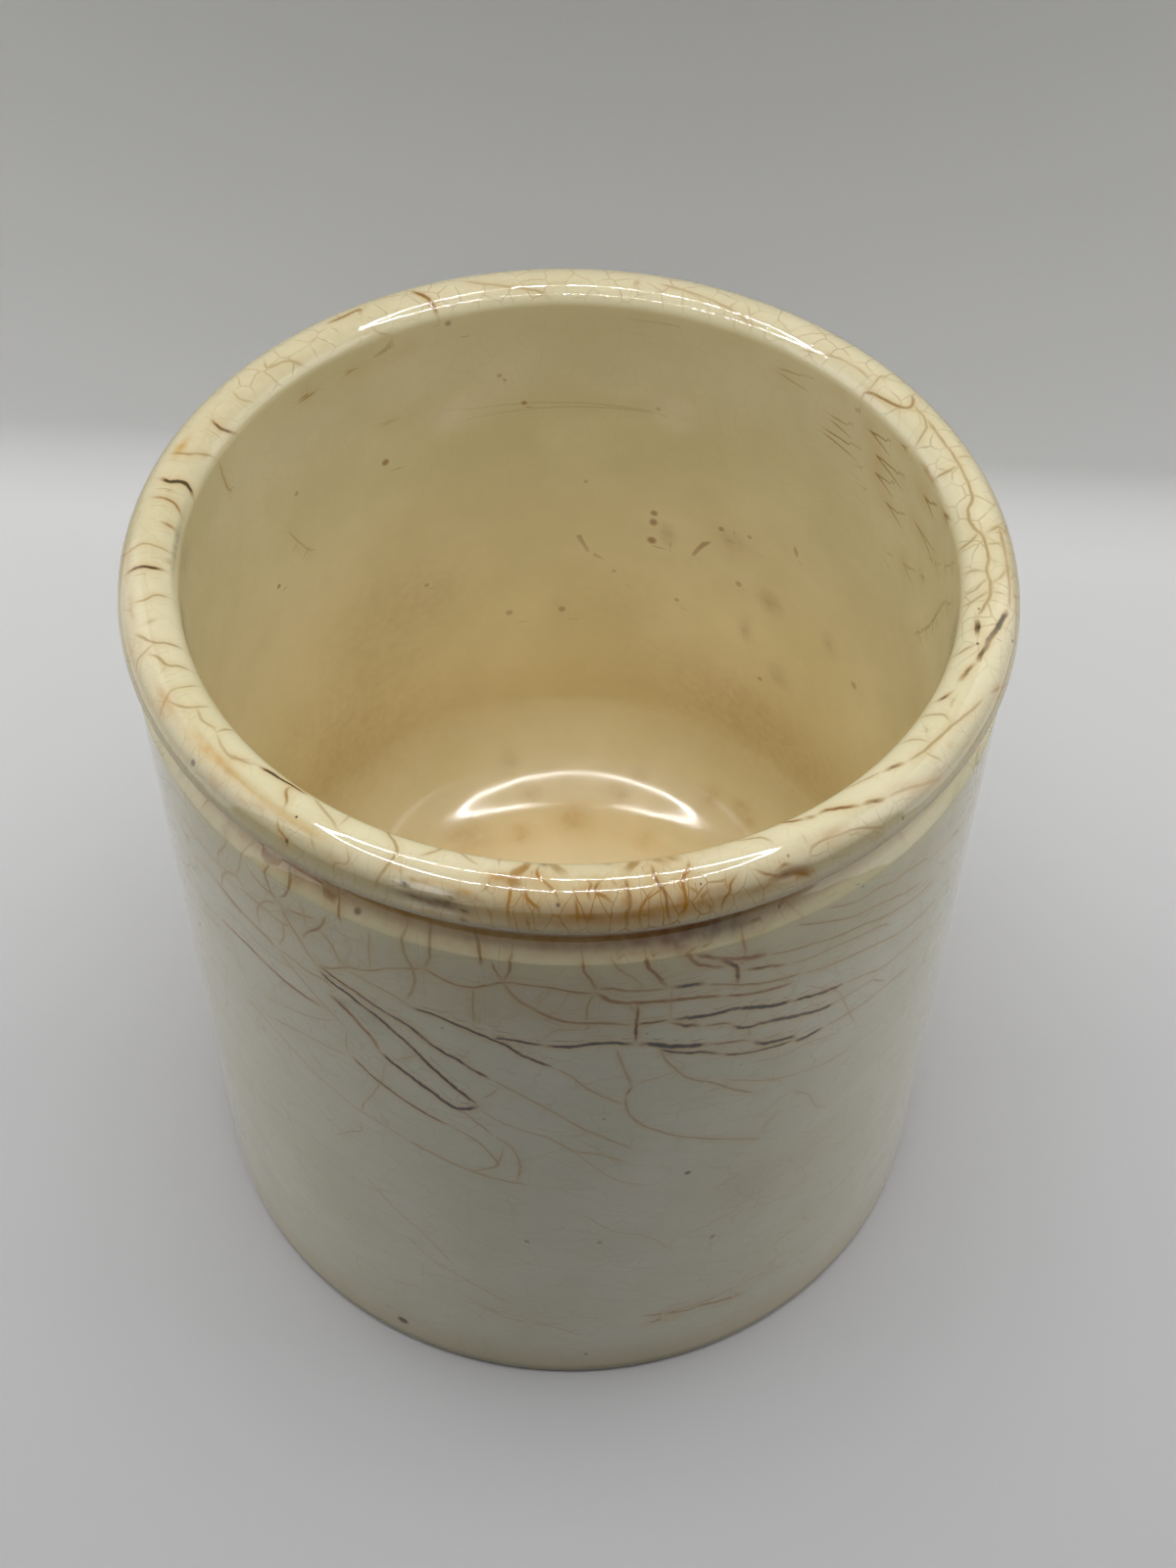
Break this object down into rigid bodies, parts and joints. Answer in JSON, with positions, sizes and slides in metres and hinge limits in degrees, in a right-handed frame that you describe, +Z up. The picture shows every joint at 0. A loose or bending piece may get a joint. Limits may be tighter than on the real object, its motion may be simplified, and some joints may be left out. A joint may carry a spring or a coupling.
{
  "type": "marmalade pot",
  "caption": "Cylindrical glazed earthenware preserve pot with a beaded lip, a tie groove under it for a cover's string, and a low foot ring.",
  "frame": {"origin": "centre of the foot ring's flat underside, where the pot stands", "axes": "+Z up along the pot's turning axis, from the foot to the mouth; X and Y lie in the plane of the foot"},
  "size_m": [0.088, 0.088, 0.0934],
  "materials": {
    "cream_glaze": "glossy lead glaze over cream earthenware, crazed and stained with age"
  },
  "bodies": {
    "root": {"pot_body": "cream_glaze"}
  },
  "joints": []
}
